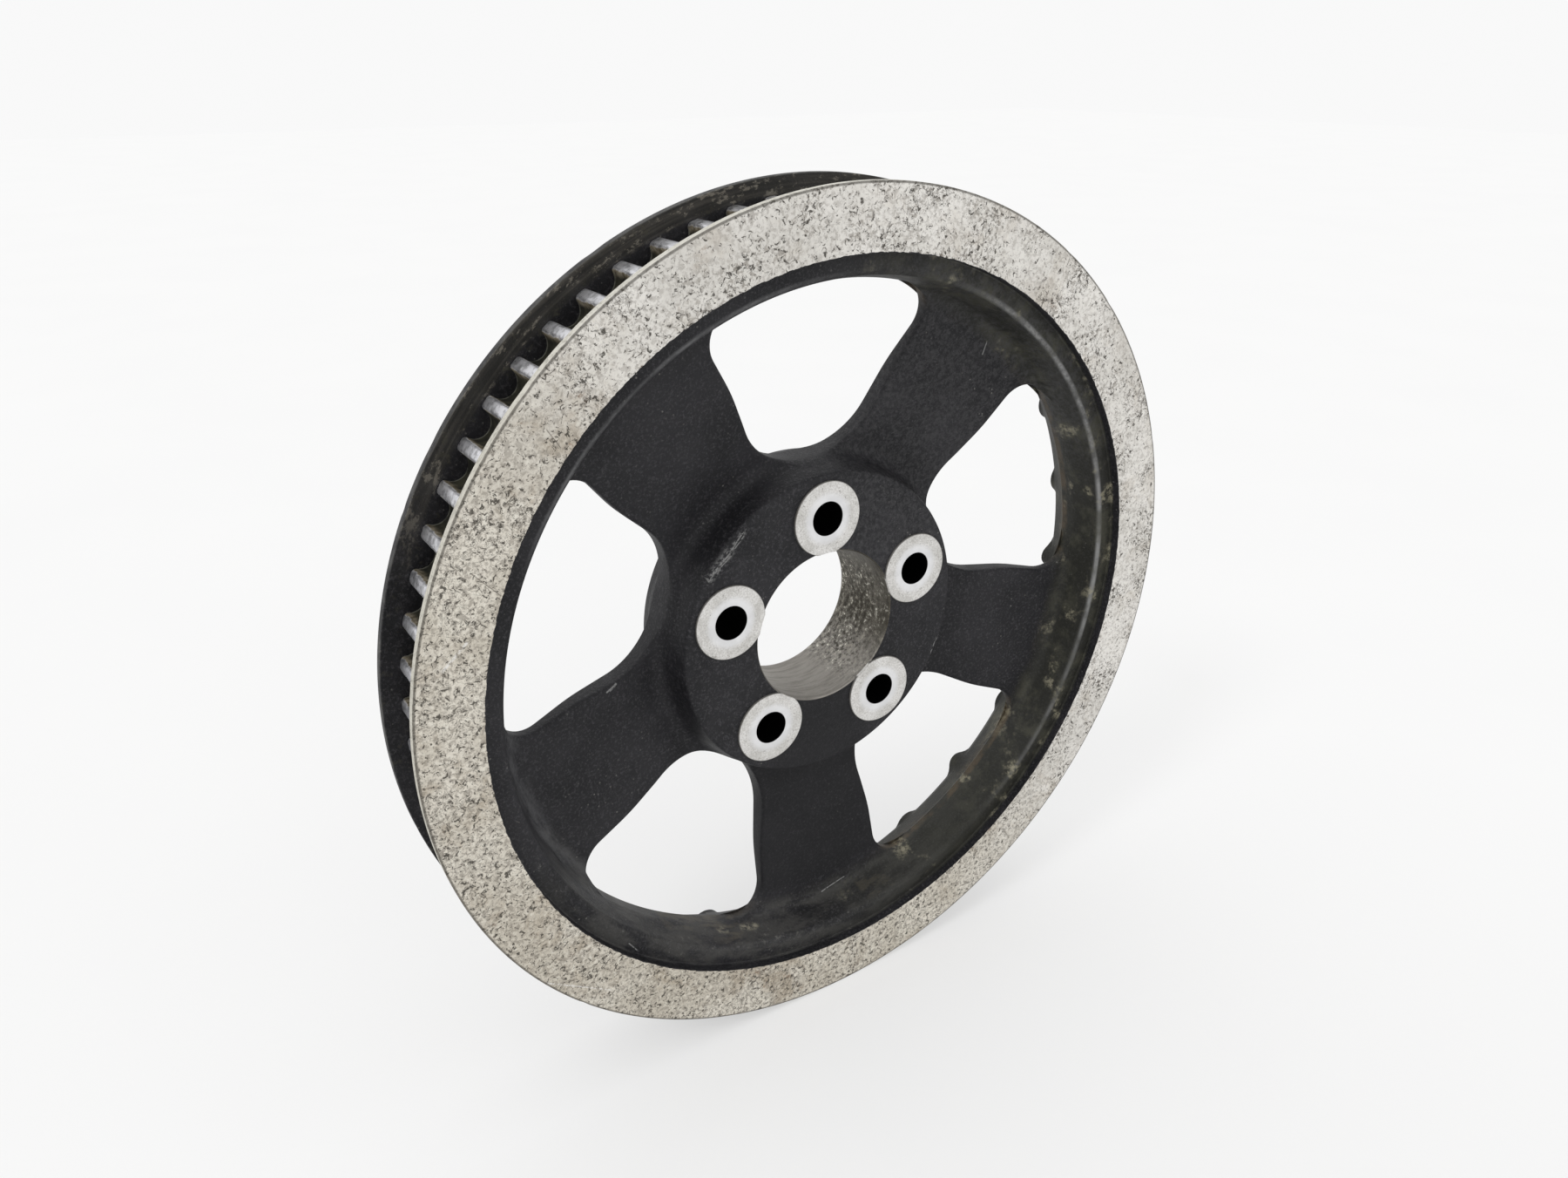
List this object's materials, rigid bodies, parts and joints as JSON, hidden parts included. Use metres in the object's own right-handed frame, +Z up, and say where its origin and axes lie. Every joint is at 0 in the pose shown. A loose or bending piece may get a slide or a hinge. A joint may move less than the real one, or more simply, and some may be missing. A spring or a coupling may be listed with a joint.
{
  "type": "timing belt pulley",
  "caption": "Large toothed belt pulley: dished spokes, side flanges, and a bored hub with round bolt seats.",
  "frame": {"origin": "centre of the bolt circle, on the axis, in the plane of the hub's rear mounting face", "axes": "+Y along the pulley's axis from the front flange towards the mounting face, +Z up as the pulley stands on its rim, +X to the right seen from the front"},
  "size_m": [0.3026, 0.047, 0.3026],
  "materials": {
    "black_paint": "cast aluminium under fine-grained charcoal powder coat, scuffed on its ridges",
    "belt_teeth": "machined, polished by the belt on the tips, dark dirt in the gaps",
    "bare_ring": "machined bare metal, pitted and stained by weather",
    "rear_ring": "black coated, worn brown-grey by the belt's edge",
    "seat_metal": "turned, bright where the bolt heads clamped"
  },
  "bodies": {
    "root": {"hub_and_spokes": "black_paint", "toothed_ring": "belt_teeth", "front_flange": "bare_ring", "rear_flange": "rear_ring", "bolt_seat_1": "seat_metal", "bolt_seat_2": "seat_metal", "bolt_seat_3": "seat_metal", "bolt_seat_4": "seat_metal", "bolt_seat_5": "seat_metal"}
  },
  "joints": []
}
